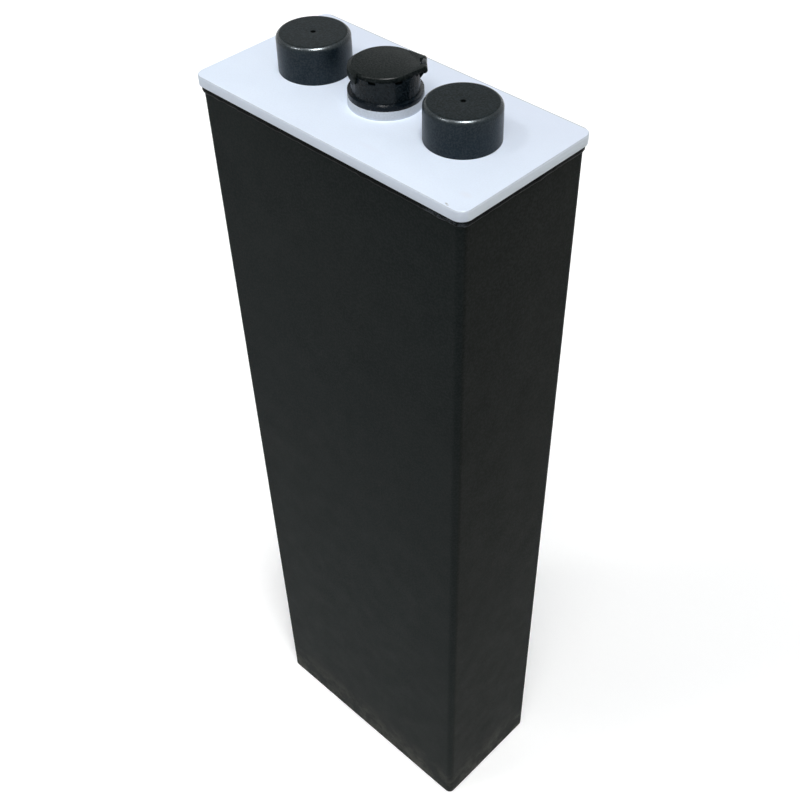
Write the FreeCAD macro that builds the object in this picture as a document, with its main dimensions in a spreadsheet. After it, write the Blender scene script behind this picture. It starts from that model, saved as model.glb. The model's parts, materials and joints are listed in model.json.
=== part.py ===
import FreeCAD, Part
import os
import Sketcher

# A two-volt lead-acid traction cell with tubular positive plates, in millimetres.
# X runs along the cell's long side, Y through the stack of plates and Z up.
# The origin is the middle of the container's underside.
# Heights on the cell lid, its poles, caps and vent plug are measured from the lid's top.

SIZES = [
    # Plate stack
    ("positive_plates", 5),
    ("tubes", 19),
    ("tube_pitch", 9.55),
    ("tube_diameter", 9.2),
    ("tube_flat", 4.9),
    ("tube_seam", 2.4),
    ("tube_length", 450.0),
    ("top_bar_height", 12.0),
    ("top_bar_thickness", 8.0),
    ("bottom_bar_height", 10.0),
    ("bottom_bar_thickness", 8.4),
    ("bottom_bar_bevel", 2.0),
    ("negative_thickness", 4.2),
    ("end_negative_thickness", 3.0),
    ("negative_top_gap", 6.0),
    ("negative_foot_width", 10.0),
    ("negative_foot_height", 4.0),
    ("lug_width", 22.0),
    ("positive_lug_thickness", 5.0),
    ("negative_lug_thickness", 2.8),
    ("lug_height", 20.0),
    ("separator_thickness", 1.8),
    ("separator_web", 0.7),
    ("separator_margin", 2.2),
    ("separator_rise", 4.0),
    ("separator_ribs", 4),
    ("separator_rib_width", 1.2),
    ("separator_rib_pitch", 55.0),
    ("stack_gap", 0.1),
    # Container
    ("side_gap", 0.65),
    ("end_gap", 1.125),
    ("wall", 2.7),
    ("floor_thickness", 4.0),
    ("container_corner", 4.5),
    ("container_inner_corner", 2.3),
    ("container_foot_bevel", 1.0),
    ("positive_prism_height", 20.0),
    ("negative_prism_height", 17.0),
    ("prism_base", 7.0),
    ("prism_crest", 4.0),
    ("positive_prism_place", 30.0),
    ("negative_prism_place", 62.0),
    ("head_space", 46.2),
    ("weld_bead_height", 4.0),
    ("weld_bead_reach", 0.7),
    # Cell lid
    ("lid_thickness", 5.8),
    ("lid_overhang", 2.25),
    ("lid_corner", 6.5),
    ("lid_bevel", 0.5),
    ("lip_depth", 3.0),
    ("lip_width", 2.0),
    ("lip_gap", 0.3),
    # Poles
    ("pole_spacing", 108.0),
    ("pole_radius", 12.0),
    ("pole_rise", 13.0),
    ("strap_width", 34.0),
    ("strap_thickness", 12.0),
    ("strap_corner", 4.0),
    ("insert_across_flats", 15.0),
    ("insert_length", 25.0),
    ("insert_gap", 0.03),
    ("thread_bore_radius", 4.25),
    ("thread_depth", 20.0),
    ("pole_gap", 0.06),
    ("bushing_wall", 3.2),
    ("bushing_rise", 1.5),
    ("bushing_depth", 7.0),
    # Terminal caps
    ("cap_radius", 20.5),
    ("cap_height", 20.4),
    ("cap_wall", 2.3),
    ("cap_bevel", 1.0),
    ("cap_dimple_radius", 1.1),
    ("cap_dimple_depth", 0.8),
    ("cap_ribs", 4),
    ("cap_rib_width", 1.6),
    ("cap_rib_rise", 2.5),
    ("cap_grip_gap", 0.3),
    # Filling neck
    ("collar_radius", 20.4),
    ("collar_height", 5.0),
    ("neck_depth", 13.0),
    ("neck_wall", 2.4),
    ("ledge_thickness", 6.2),
    ("bayonet_lugs", 3),
    ("bayonet_lug_width", 8.0),
    ("bayonet_lug_height", 2.4),
    ("bayonet_lug_reach", 2.4),
    ("bayonet_lug_gap", 0.3),
    ("bayonet_slot_play", 0.8),
    ("bayonet_stop_width", 7.0),
    ("bayonet_turn", 60.0),
    ("neck_play", 0.9),
    # Vent plug
    ("hinge_azimuth", 45.0),
    ("barrel_radius", 14.0),
    ("barrel_bore_radius", 12.0),
    ("barrel_gap", 0.5),
    ("barrel_depth", 17.0),
    ("flange_radius", 20.2),
    ("flange_thickness", 2.8),
    ("cup_radius", 18.2),
    ("cup_wall", 1.9),
    ("cup_height", 11.6),
    ("vent_slots", 8),
    ("vent_slot_width", 4.2),
    ("vent_slot_height", 1.6),
    # Flip lid of the vent plug
    ("flip_radius", 17.8),
    ("flip_thickness", 2.4),
    ("flip_bevel_width", 0.5),
    ("flip_bevel_height", 0.4),
    ("flip_ring_depth", 2.2),
    ("flip_ring_wall", 1.6),
    ("flip_ring_gap", 0.5),
    ("flip_wing_root_out", 12.5),
    ("flip_wing_root_side", 12.4),
    ("hinge_reach", 20.1),
    ("hinge_height", 0.7),
    ("hinge_half_width", 6.4),
    ("knuckle_radius", 1.7),
    ("knuckle_half_width", 3.0),
    ("knuckle_gap", 0.3),
    ("pin_radius", 1.0),
    ("pin_gap", 0.08),
    ("knuckle_mouth", 1.2),
    ("knuckle_bracket_drop", 6.5),
    ("thumb_span", 76.0),
    ("thumb_drop", 3.2),
    ("thumb_gap", 0.3),
    ("thumb_wall", 1.2),
    ("thumb_lean", 0.25),
    ("thumb_shoulder", 1.4),
    # Element protector
    ("protector_length", 64.0),
    ("protector_margin", 5.4),
    ("protector_thickness", 2.0),
    ("protector_hole", 8.0),
    ("protector_hole_pitch", 18.0),
    ("protector_hole_rows", 3),
]

HALF_SIDE_OF_HEXAGON = 3 ** -0.5

document = FreeCAD.newDocument("traction_battery_cell")
sheet = document.addObject("Spreadsheet::Sheet", "Sizes")
worked_sheet = document.addObject("Spreadsheet::Sheet", "Worked")
parts = []


class Size:
    """A value in millimetres, degrees or pieces, with the sheet formula that it stands for."""

    def __init__(self, value, formula):
        self.value = value
        self.formula = formula

    def __add__(self, other):
        return Size(self.value + number(other), "(%s + %s)" % (self.formula, text(other)))

    def __sub__(self, other):
        return Size(self.value - number(other), "(%s - %s)" % (self.formula, text(other)))

    def __mul__(self, other):
        return Size(self.value * number(other), "(%s * %s)" % (self.formula, text(other)))

    def __truediv__(self, other):
        return Size(self.value / number(other), "(%s / %s)" % (self.formula, text(other)))

    def __neg__(self):
        return Size(-self.value, "(0 - %s)" % self.formula)


class Sizes:
    """The driving dimensions by name."""


def number(item):
    return item.value if isinstance(item, Size) else item


def text(item):
    return item.formula if isinstance(item, Size) else "%.10g" % item


def bind(item, path, size):
    """Ties one property to the sheet."""
    item.setExpression(path, text(size))


# The sheets

size = Sizes()
for row, (name, value) in enumerate(SIZES, start=1):
    sheet.set("A%d" % row, name)
    sheet.set("B%d" % row, str(value))
    sheet.setAlias("B%d" % row, name)
    setattr(size, name, Size(value, "Sizes." + name))


def worked(name, result):
    """Names a value that follows from the driving dimensions."""
    row = worked.rows = worked.rows + 1
    worked_sheet.set("A%d" % row, name)
    worked_sheet.set("B%d" % row, "=" + result.formula)
    worked_sheet.setAlias("B%d" % row, name)
    return Size(result.value, "Worked." + name)


worked.rows = 0
whole_turn = worked("whole_turn", Size(360.0, "360"))
half_turn = worked("half_turn", whole_turn / 2)

plate_pitch = worked(
    "plate_pitch",
    size.tube_diameter + size.negative_thickness + size.separator_thickness * 2 + size.stack_gap * 4)
plate_width = worked("plate_width", size.tube_pitch * size.tubes)
stack_depth = worked(
    "stack_depth",
    plate_pitch * size.positive_plates - size.negative_thickness + size.end_negative_thickness * 2)
separator_width = worked("separator_width", plate_width + size.separator_margin * 2)
inner_length = worked("inner_length", separator_width + size.end_gap * 2)
inner_width = worked("inner_width", stack_depth + size.side_gap * 2)
container_length = worked("container_length", inner_length + size.wall * 2)
container_width = worked("container_width", inner_width + size.wall * 2)
lid_length = worked("lid_length", container_length + size.lid_overhang * 2)
lid_width = worked("lid_width", container_width + size.lid_overhang * 2)

plate_foot = worked("plate_foot", size.floor_thickness + size.positive_prism_height)
negative_foot = worked("negative_foot", size.floor_thickness + size.negative_prism_height)
tube_foot = worked("tube_foot", plate_foot + size.bottom_bar_height)
tube_top = worked("tube_top", tube_foot + size.tube_length)
bar_top = worked("bar_top", tube_top + size.top_bar_height)
separator_top = worked("separator_top", bar_top + size.separator_rise)
strap_foot = worked("strap_foot", bar_top + size.lug_height)
strap_top = worked("strap_top", strap_foot + size.strap_thickness)
rim = worked("rim", strap_top + size.head_space)
lid_top = worked("lid_top", rim + size.lid_thickness)

pole_place = worked("pole_place", size.pole_spacing / 2)
pole_top = worked("pole_top", lid_top + size.pole_rise)
positive_strap_length = worked(
    "positive_strap_length",
    plate_pitch * (size.positive_plates - 1) + size.tube_diameter)
negative_strap_length = worked(
    "negative_strap_length",
    stack_depth - size.end_negative_thickness + size.negative_lug_thickness)
bushing_bore = worked("bushing_bore", size.pole_radius + size.pole_gap)
bushing_radius = worked("bushing_radius", bushing_bore + size.bushing_wall)

ledge_radius = worked("ledge_radius", size.barrel_radius + size.barrel_gap)
ledge_low = worked("ledge_low", size.collar_height - size.ledge_thickness)
lug_circle = worked("lug_circle", size.barrel_radius + size.bayonet_lug_reach)
neck_bore = worked("neck_bore", lug_circle + size.neck_play)
neck_radius = worked("neck_radius", neck_bore + size.neck_wall)
lug_top = worked("lug_top", ledge_low - size.bayonet_lug_gap)

flange_top = worked("flange_top", size.collar_height + size.flange_thickness)
cup_top = worked("cup_top", flange_top + size.cup_height)
cup_bore = worked("cup_bore", size.cup_radius - size.cup_wall)
flip_top = worked("flip_top", cup_top + size.flip_thickness)
hinge_level = worked("hinge_level", cup_top + size.hinge_height)
flip_ring_radius = worked("flip_ring_radius", cup_bore - size.flip_ring_gap)


# Helpers for bodies, sketches and features


def new_body(name):
    """An empty body that becomes one sub-part."""
    body = document.addObject("PartDesign::Body", name)
    body.Label = name
    parts.append(body)
    return body


def origin_item(body, role):
    """One of the body's own origin planes or axes."""
    return [item for item in body.Origin.OriginFeatures if item.Role == role][0]


def sketch(body, role, lift=None):
    """A sketch on an origin plane, moved along its normal by lift."""
    item = body.newObject("Sketcher::SketchObject", body.Label + "_sketch")
    item.AttachmentSupport = [(origin_item(body, role), "")]
    item.MapMode = "FlatFace"
    if lift is not None:
        bind(item, "AttachmentOffset.Base.z", lift)
    return item


def turned_sketch(body, lift, angle):
    """A level sketch at the given height, turned about the Z axis."""
    item = sketch(body, "XY_Plane")
    item.AttachmentOffset = FreeCAD.Placement(
        FreeCAD.Vector(0, 0, 0), FreeCAD.Rotation(FreeCAD.Vector(0, 0, 1), angle.value))
    bind(item, "AttachmentOffset.Base.z", lift)
    bind(item, "AttachmentOffset.Rotation.Angle", angle)
    return item


def polygon(item, corners):
    """A closed outline with each corner at its distances from the sketch's origin."""
    first = item.GeometryCount
    count = len(corners)
    points = [FreeCAD.Vector(number(x), number(y), 0) for x, y in corners]
    lines = [Part.LineSegment(points[i], points[(i + 1) % count]) for i in range(count)]
    item.addGeometry(lines, False)
    joins = []
    for i in range(count):
        joins.append(Sketcher.Constraint("Coincident", first + i, 2, first + (i + 1) % count, 1))
    item.addConstraint(joins)
    for i, corner in enumerate(corners):
        for kind, reach in zip(("DistanceX", "DistanceY"), corner):
            rule = Sketcher.Constraint(kind, -1, 1, first + i, 1, float(number(reach)))
            bind(item, "Constraints[%d]" % item.addConstraint(rule), reach)
    return item


def rectangle(item, low_x, high_x, low_y, high_y):
    return polygon(item, [(low_x, low_y), (high_x, low_y), (high_x, high_y), (low_x, high_y)])


def centred_rectangle(item, length, width):
    return rectangle(item, -length / 2, length / 2, -width / 2, width / 2)


def hexagon(item, flat_reach):
    """Six sides, each flat_reach from the middle, with two corners along the sketch's Y."""
    half_side = flat_reach * HALF_SIDE_OF_HEXAGON
    corner = half_side * 2
    return polygon(item, [
        (flat_reach, -half_side), (flat_reach, half_side), (0.0, corner),
        (-flat_reach, half_side), (-flat_reach, -half_side), (0.0, -corner)])


def circle(item, radius, centre=(0.0, 0.0)):
    """A circle with its centre and radius tied to the sheet."""
    place = FreeCAD.Vector(number(centre[0]), number(centre[1]), 0)
    index = item.addGeometry(Part.Circle(place, FreeCAD.Vector(0, 0, 1), number(radius)), False)
    rule = Sketcher.Constraint("Radius", index, number(radius))
    bind(item, "Constraints[%d]" % item.addConstraint(rule), radius)
    for kind, reach in zip(("DistanceX", "DistanceY"), centre):
        rule = Sketcher.Constraint(kind, -1, 1, index, 3, float(number(reach)))
        bind(item, "Constraints[%d]" % item.addConstraint(rule), reach)
    return item


def extrude(kind, body, profile, length, reverse, centred):
    """A pad or pocket of the profile along its sketch's normal."""
    feature = body.newObject("PartDesign::" + kind, body.Label + "_" + kind.lower())
    feature.Profile = profile
    feature.Reversed = reverse
    if centred:
        feature.SideType = "Symmetric"
    bind(feature, "Length", length)
    profile.Visibility = False
    return feature


def pad(body, profile, length, reverse=False, centred=False):
    return extrude("Pad", body, profile, length, reverse, centred)


def pocket(body, profile, length, reverse=False, centred=False):
    return extrude("Pocket", body, profile, length, reverse, centred)


def revolve(body, profile, span=None):
    """The profile turned about the body's Z axis, all round or by the span to both sides alike."""
    feature = body.newObject("PartDesign::Revolution", body.Label + "_revolution")
    feature.Profile = profile
    feature.ReferenceAxis = (origin_item(body, "Z_Axis"), [""])
    if span is None:
        feature.Angle = 360
    else:
        feature.Midplane = True
        bind(feature, "Angle", span)
    return feature


def repeat_round(body, feature, count):
    """Copies of a feature evenly spaced about the body's Z axis."""
    pattern = body.newObject("PartDesign::PolarPattern", body.Label + "_ring")
    pattern.Originals = [feature]
    pattern.Axis = (origin_item(body, "Z_Axis"), [""])
    pattern.Angle = 360
    bind(pattern, "Occurrences", count)
    body.Tip = pattern
    return pattern


def repeat_along(body, feature, role, count, pitch):
    """Copies of a feature in a row along one of the body's axes."""
    pattern = body.newObject("PartDesign::LinearPattern", body.Label + "_row")
    pattern.Originals = [feature]
    pattern.Direction = (origin_item(body, role), [""])
    pattern.Mode = "Spacing"
    bind(pattern, "Occurrences", count)
    bind(pattern, "Offset", pitch)
    body.Tip = pattern
    return pattern


def dress_edges(body, kind, measure, reach, wanted):
    """A fillet or chamfer along the edges that the test picks."""
    document.recompute()
    base = body.Tip
    names = ["Edge%d" % i for i, edge in enumerate(base.Shape.Edges, start=1) if wanted(edge)]
    feature = body.newObject("PartDesign::" + kind, body.Label + "_" + kind.lower())
    feature.Base = (base, names)
    bind(feature, measure, reach)
    return feature


def round_edges(body, radius, wanted):
    return dress_edges(body, "Fillet", "Radius", radius, wanted)


def bevel_edges(body, reach, wanted):
    return dress_edges(body, "Chamfer", "Size", reach, wanted)


def is_upright(edge):
    box = edge.BoundBox
    return box.ZLength > 1 and box.XLength < 0.001 and box.YLength < 0.001


def is_level(edge, height):
    box = edge.BoundBox
    return abs(box.ZMin - height) < 0.001 and abs(box.ZMax - height) < 0.001


def template(body):
    """Keeps a body out of the list of sub-parts, because only its copies are."""
    parts.remove(body)
    return body


def copy_of(master, name, across, turned=False):
    """The same piece again, moved through the stack."""
    twin = document.addObject("Part::Compound", name)
    twin.Label = name
    twin.Links = [master]
    if turned:
        twin.Placement = FreeCAD.Placement(
            FreeCAD.Vector(0, 0, 0), FreeCAD.Rotation(FreeCAD.Vector(0, 0, 1), 180))
    bind(twin, "Placement.Base.y", across)
    parts.append(twin)
    return twin


# Container


def build_container():
    """The moulded box, with prisms on its floor that carry the plates over the sediment."""
    body = new_body("container")
    pad(body, centred_rectangle(sketch(body, "XY_Plane"), container_length, container_width), rim)
    round_edges(body, size.container_corner, is_upright)
    bevel_edges(body, size.container_foot_bevel, lambda edge: is_level(edge, 0))

    bead = sketch(body, "XY_Plane", rim - size.weld_bead_height)
    centred_rectangle(
        bead,
        container_length + size.weld_bead_reach * 2,
        container_width + size.weld_bead_reach * 2)
    pad(body, bead, size.weld_bead_height)
    outside = container_length.value / 2 + 0.01
    round_edges(
        body,
        size.container_corner + size.weld_bead_reach,
        lambda edge: is_upright(edge) and abs(edge.CenterOfMass.x) > outside)

    inside = sketch(body, "XY_Plane", size.floor_thickness)
    centred_rectangle(inside, inner_length, inner_width)
    pocket(body, inside, rim, reverse=True)
    round_edges(body, size.container_inner_corner, is_inner_corner)

    for place, height in (
            (size.positive_prism_place, size.positive_prism_height),
            (size.negative_prism_place, size.negative_prism_height)):
        for side in (-1, 1):
            add_prism(body, place * side, height)


def is_inner_corner(edge):
    away = abs(abs(edge.CenterOfMass.x) - inner_length.value / 2)
    return is_upright(edge) and away < 0.01


def add_prism(body, middle, height):
    """A tapered ridge across the container's floor."""
    crest = size.floor_thickness + height
    profile = sketch(body, "XZ_Plane")
    polygon(profile, [
        (middle - size.prism_base / 2, size.floor_thickness),
        (middle + size.prism_base / 2, size.floor_thickness),
        (middle + size.prism_crest / 2, crest),
        (middle - size.prism_crest / 2, crest)])
    pad(body, profile, inner_width, centred=True)


# Cell lid


def build_cell_lid():
    """The welded lid, with two pole bushings and the raised filling neck in its middle."""
    body = new_body("cell_lid")
    bind(body, "Placement.Base.z", lid_top)
    underside = -size.lid_thickness
    plate = sketch(body, "XY_Plane", underside)
    pad(body, centred_rectangle(plate, lid_length, lid_width), size.lid_thickness)
    round_edges(body, size.lid_corner, is_upright)
    bevel_edges(body, size.lid_bevel, lambda edge: is_level(edge, 0))

    lip = sketch(body, "XY_Plane", underside)
    lip_length = inner_length - size.lip_gap * 2
    lip_breadth = inner_width - size.lip_gap * 2
    centred_rectangle(lip, lip_length, lip_breadth)
    centred_rectangle(lip, lip_length - size.lip_width * 2, lip_breadth - size.lip_width * 2)
    pad(body, lip, size.lip_depth, reverse=True)
    lip_end = lip_length.value / 2
    round_edges(
        body,
        size.container_inner_corner,
        lambda edge: is_upright(edge) and abs(abs(edge.CenterOfMass.x) - lip_end) < 0.01)

    bushing_foot = underside - size.bushing_depth
    length = size.bushing_rise - bushing_foot
    for side in (-1, 1):
        middle = (pole_place * side, 0.0)
        pad(body, circle(sketch(body, "XY_Plane", bushing_foot), bushing_radius, middle), length)
    for side in (-1, 1):
        middle = (pole_place * side, 0.0)
        bore = circle(sketch(body, "XY_Plane", size.bushing_rise), bushing_bore, middle)
        pocket(body, bore, length)

    add_neck(body)


def add_neck(body):
    """The collar and neck, with a slotted ledge that the plug's lugs lock under."""
    pad(body, circle(sketch(body, "XY_Plane"), size.collar_radius), size.collar_height)
    tube = circle(sketch(body, "XY_Plane", -size.neck_depth), neck_radius)
    pad(body, tube, size.neck_depth - size.lid_thickness)

    through = circle(sketch(body, "XY_Plane", size.collar_height), ledge_radius)
    pocket(body, through, size.collar_height + size.neck_depth)
    below = circle(sketch(body, "XY_Plane", -size.neck_depth), neck_bore)
    pocket(body, below, size.neck_depth + ledge_low, reverse=True)

    slot = turned_sketch(body, size.collar_height, size.hinge_azimuth + size.bayonet_turn)
    slot_half = size.bayonet_lug_width / 2 + size.bayonet_slot_play
    reach = lug_circle + size.bayonet_slot_play / 2
    rectangle(slot, size.barrel_bore_radius, reach, -slot_half, slot_half)
    slot_cut = pocket(body, slot, size.ledge_thickness)
    repeat_round(body, slot_cut, size.bayonet_lugs)

    between = (size.bayonet_turn + whole_turn / size.bayonet_lugs) / 2
    stop = turned_sketch(body, ledge_low - size.bayonet_lug_height, size.hinge_azimuth + between)
    stop_half = size.bayonet_stop_width / 2
    stop_foot = size.barrel_radius + size.bayonet_slot_play
    rectangle(stop, stop_foot, neck_bore + size.neck_wall / 2, -stop_half, stop_half)
    stop_rib = pad(body, stop, size.bayonet_lug_height)
    repeat_round(body, stop_rib, size.bayonet_lugs)


# Poles


def build_post(name, side, strap_length):
    """A lead pole cast on the strap that joins the plates' lugs."""
    body = new_body(name)
    bind(body, "Placement.Base.x", pole_place * side)
    strap = sketch(body, "XY_Plane", strap_foot)
    pad(body, centred_rectangle(strap, size.strap_width, strap_length), size.strap_thickness)
    round_edges(body, size.strap_corner, is_upright)
    pad(body, circle(sketch(body, "XY_Plane", strap_top), size.pole_radius), pole_top - strap_top)
    seat = hexagon(sketch(body, "XY_Plane", pole_top), size.insert_across_flats / 2 + size.insert_gap)
    pocket(body, seat, size.insert_length)


def build_insert(name, side):
    """The six-sided brass bushing with the thread that a connector's bolt goes into."""
    body = new_body(name)
    bind(body, "Placement.Base.x", pole_place * side)
    bind(body, "Placement.Base.z", pole_top)
    block = hexagon(sketch(body, "XY_Plane"), size.insert_across_flats / 2)
    pad(body, block, size.insert_length, reverse=True)
    thread = circle(sketch(body, "XY_Plane"), size.thread_bore_radius)
    pocket(body, thread, size.thread_depth)


def build_cap(name, side):
    """The push-on terminal cap, with ribs inside that grip the pole."""
    body = new_body(name)
    bind(body, "Placement.Base.x", pole_place * side)
    bind(body, "Placement.Base.z", lid_top)
    ceiling = size.cap_height - size.cap_wall
    inside = size.cap_radius - size.cap_wall
    profile = polygon(sketch(body, "XZ_Plane"), [
        (inside, 0.0),
        (size.cap_radius, 0.0),
        (size.cap_radius, size.cap_height - size.cap_bevel),
        (size.cap_radius - size.cap_bevel, size.cap_height),
        (size.cap_dimple_radius, size.cap_height),
        (0.0, size.cap_height - size.cap_dimple_depth),
        (0.0, ceiling),
        (inside, ceiling)])
    revolve(body, profile)
    rib = turned_sketch(body, size.cap_rib_rise, half_turn / size.cap_ribs)
    rib_half = size.cap_rib_width / 2
    grip = size.pole_radius + size.cap_grip_gap
    rectangle(rib, grip, inside + size.cap_wall / 2, -rib_half, rib_half)
    rib_pad = pad(body, rib, ceiling - size.cap_rib_rise)
    repeat_round(body, rib_pad, size.cap_ribs)


# Vent plug


def in_plug_frame(body):
    """Stands the body on the lid's top, with its own X towards the hinge."""
    body.Placement = FreeCAD.Placement(
        FreeCAD.Vector(0, 0, 0),
        FreeCAD.Rotation(FreeCAD.Vector(0, 0, 1), size.hinge_azimuth.value))
    bind(body, "Placement.Base.z", lid_top)
    bind(body, "Placement.Rotation.Angle", size.hinge_azimuth)


def build_plug():
    """The bayonet plug: a barrel with lugs, a flange and a vented cup with the hinge's knuckle."""
    body = new_body("vent_plug_body")
    in_plug_frame(body)
    profile = polygon(sketch(body, "XZ_Plane"), [
        (size.barrel_bore_radius, -size.barrel_depth),
        (size.barrel_radius, -size.barrel_depth),
        (size.barrel_radius, size.collar_height),
        (size.flange_radius, size.collar_height),
        (size.flange_radius, flange_top),
        (size.cup_radius, flange_top),
        (size.cup_radius, cup_top),
        (cup_bore, cup_top),
        (cup_bore, flange_top),
        (size.barrel_bore_radius, flange_top)])
    revolve(body, profile)

    slot = sketch(body, "YZ_Plane")
    slot.AttachmentOffset = FreeCAD.Placement(
        FreeCAD.Vector(0, 0, 0),
        FreeCAD.Rotation(FreeCAD.Vector(0, 1, 0), half_turn.value / size.vent_slots.value))
    bind(slot, "AttachmentOffset.Rotation.Angle", half_turn / size.vent_slots)
    slot_half = size.vent_slot_width / 2
    rectangle(slot, -slot_half, slot_half, cup_top - size.vent_slot_height, cup_top)
    slot_cut = pocket(body, slot, size.cup_radius + size.cup_wall)
    repeat_round(body, slot_cut, size.vent_slots)

    lug = sketch(body, "XY_Plane", lug_top - size.bayonet_lug_height)
    lug_half = size.bayonet_lug_width / 2
    lug_root = (size.barrel_bore_radius + size.barrel_radius) / 2
    rectangle(lug, lug_root, lug_circle, -lug_half, lug_half)
    lug_pad = pad(body, lug, size.bayonet_lug_height)
    repeat_round(body, lug_pad, size.bayonet_lugs)

    add_knuckle(body)


def add_knuckle(body):
    """The bracket on the cup's wall with the open knuckle that the flip lid's pin snaps into."""
    width = size.knuckle_half_width * 2
    root = size.cup_radius - size.cup_wall / 2
    outside = size.hinge_reach + size.knuckle_radius
    bracket = polygon(sketch(body, "XZ_Plane"), [
        (root, cup_top - size.knuckle_bracket_drop),
        (outside, hinge_level - size.knuckle_radius / 2),
        (size.hinge_reach, cup_top),
        (root, cup_top)])
    pad(body, bracket, width, centred=True)
    knuckle = circle(
        sketch(body, "XZ_Plane"), size.knuckle_radius, (size.hinge_reach, hinge_level))
    pad(body, knuckle, width, centred=True)
    bore = circle(
        sketch(body, "XZ_Plane"), size.pin_radius + size.pin_gap, (size.hinge_reach, hinge_level))
    pocket(body, bore, width, centred=True)
    mouth = rectangle(
        sketch(body, "XZ_Plane"),
        size.hinge_reach,
        outside + size.knuckle_gap,
        hinge_level - size.knuckle_mouth / 2,
        hinge_level + size.knuckle_mouth / 2)
    pocket(body, mouth, width, centred=True)


def build_flip_lid():
    """The hinged lid with its bevelled disc, ears and pin, a thumb tab in front and a ring below."""
    body = new_body("vent_flip_lid")
    in_plug_frame(body)
    disc = polygon(sketch(body, "XZ_Plane"), [
        (0.0, cup_top),
        (size.flip_radius, cup_top),
        (size.flip_radius, flip_top - size.flip_bevel_height),
        (size.flip_radius - size.flip_bevel_width, flip_top),
        (0.0, flip_top)])
    revolve(body, disc)
    wings = polygon(sketch(body, "XY_Plane", cup_top), [
        (size.flip_wing_root_out, -size.flip_wing_root_side),
        (size.hinge_reach, -size.hinge_half_width),
        (size.hinge_reach, size.hinge_half_width),
        (size.flip_wing_root_out, size.flip_wing_root_side)])
    pad(body, wings, size.flip_thickness)
    ears = circle(sketch(body, "XZ_Plane"), size.knuckle_radius, (size.hinge_reach, hinge_level))
    pad(body, ears, size.hinge_half_width * 2, centred=True)

    notch_half = size.knuckle_half_width + size.knuckle_gap
    notch_start = size.hinge_reach - size.knuckle_radius - size.knuckle_gap
    notch = rectangle(
        sketch(body, "XY_Plane", flip_top + size.knuckle_radius),
        notch_start,
        size.hinge_reach + size.knuckle_radius * 2,
        -notch_half,
        notch_half)
    pocket(body, notch, size.flip_thickness + size.knuckle_radius * 3)
    pin = circle(sketch(body, "XZ_Plane"), size.pin_radius, (size.hinge_reach, hinge_level))
    pad(body, pin, size.hinge_half_width * 2, centred=True)

    ring = circle(sketch(body, "XY_Plane", cup_top), flip_ring_radius)
    circle(ring, flip_ring_radius - size.flip_ring_wall)
    pad(body, ring, size.flip_ring_depth, reverse=True)

    inside = -(size.cup_radius + size.thumb_gap)
    outside = inside - size.thumb_wall
    tab_foot = cup_top - size.thumb_drop
    shoulder = size.flip_bevel_width - size.flip_radius
    tab = polygon(sketch(body, "XZ_Plane"), [
        (inside, cup_top),
        (inside, tab_foot),
        (outside + size.thumb_lean, tab_foot),
        (outside, cup_top),
        (outside + size.thumb_lean, flip_top - size.thumb_shoulder),
        (shoulder, flip_top),
        (shoulder + size.flip_bevel_width, flip_top),
        (shoulder + size.flip_bevel_width, cup_top)])
    revolve(body, tab, size.thumb_span)


# Plates


def positive_grid():
    """The lead top bar and lug of a positive plate, whose spines run inside the filled tubes."""
    body = new_body("positive_grid")
    bar = sketch(body, "XY_Plane", tube_top)
    pad(body, centred_rectangle(bar, plate_width, size.top_bar_thickness), size.top_bar_height)
    lug = sketch(body, "XY_Plane", bar_top)
    lug_half = size.positive_lug_thickness / 2
    left = pole_place - size.lug_width / 2
    rectangle(lug, left, left + size.lug_width, -lug_half, lug_half)
    pad(body, lug, size.lug_height)
    return body


def gauntlet():
    """The woven tubes with their filling, joined side by side."""
    body = new_body("gauntlet")
    tube = sketch(body, "XY_Plane", tube_foot)
    middle = (size.tube_pitch - plate_width) / 2
    seam = size.tube_pitch / 2
    flat = size.tube_flat / 2
    low = size.tube_seam / 2
    high = size.tube_diameter / 2
    polygon(tube, [
        (middle - seam, -low), (middle - flat, -high), (middle + flat, -high),
        (middle + seam, -low), (middle + seam, low), (middle + flat, high),
        (middle - flat, high), (middle - seam, low)])
    tube_pad = pad(body, tube, size.tube_length)
    repeat_along(body, tube_pad, "X_Axis", size.tubes, size.tube_pitch)
    return body


def bottom_bar():
    """The moulded bar that closes the tubes at the foot."""
    body = new_body("bottom_bar")
    half = size.bottom_bar_thickness / 2
    bevel = size.bottom_bar_bevel
    profile = polygon(sketch(body, "YZ_Plane"), [
        (-half, tube_foot), (-half, plate_foot + bevel), (-half + bevel, plate_foot),
        (half - bevel, plate_foot), (half, plate_foot + bevel), (half, tube_foot)])
    pad(body, profile, plate_width, centred=True)
    return body


def negative_plate(name, thickness):
    """A pasted plate with its lug, and feet on the outer prisms."""
    body = new_body(name)
    foot = negative_foot + size.negative_foot_height
    plate = sketch(body, "XY_Plane", foot)
    top = bar_top - size.negative_top_gap
    pad(body, centred_rectangle(plate, plate_width, thickness), top - foot)
    for side in (-1, 1):
        middle = size.negative_prism_place * side
        shoe = sketch(body, "XY_Plane", negative_foot)
        half = size.negative_foot_width / 2
        rectangle(shoe, middle - half, middle + half, -thickness / 2, thickness / 2)
        pad(body, shoe, size.negative_foot_height)
    lug = sketch(body, "XY_Plane", top)
    right = -pole_place + size.lug_width / 2
    lug_half = size.negative_lug_thickness / 2
    rectangle(lug, right - size.lug_width, right, -lug_half, lug_half)
    pad(body, lug, strap_foot - top)
    return body


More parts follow.
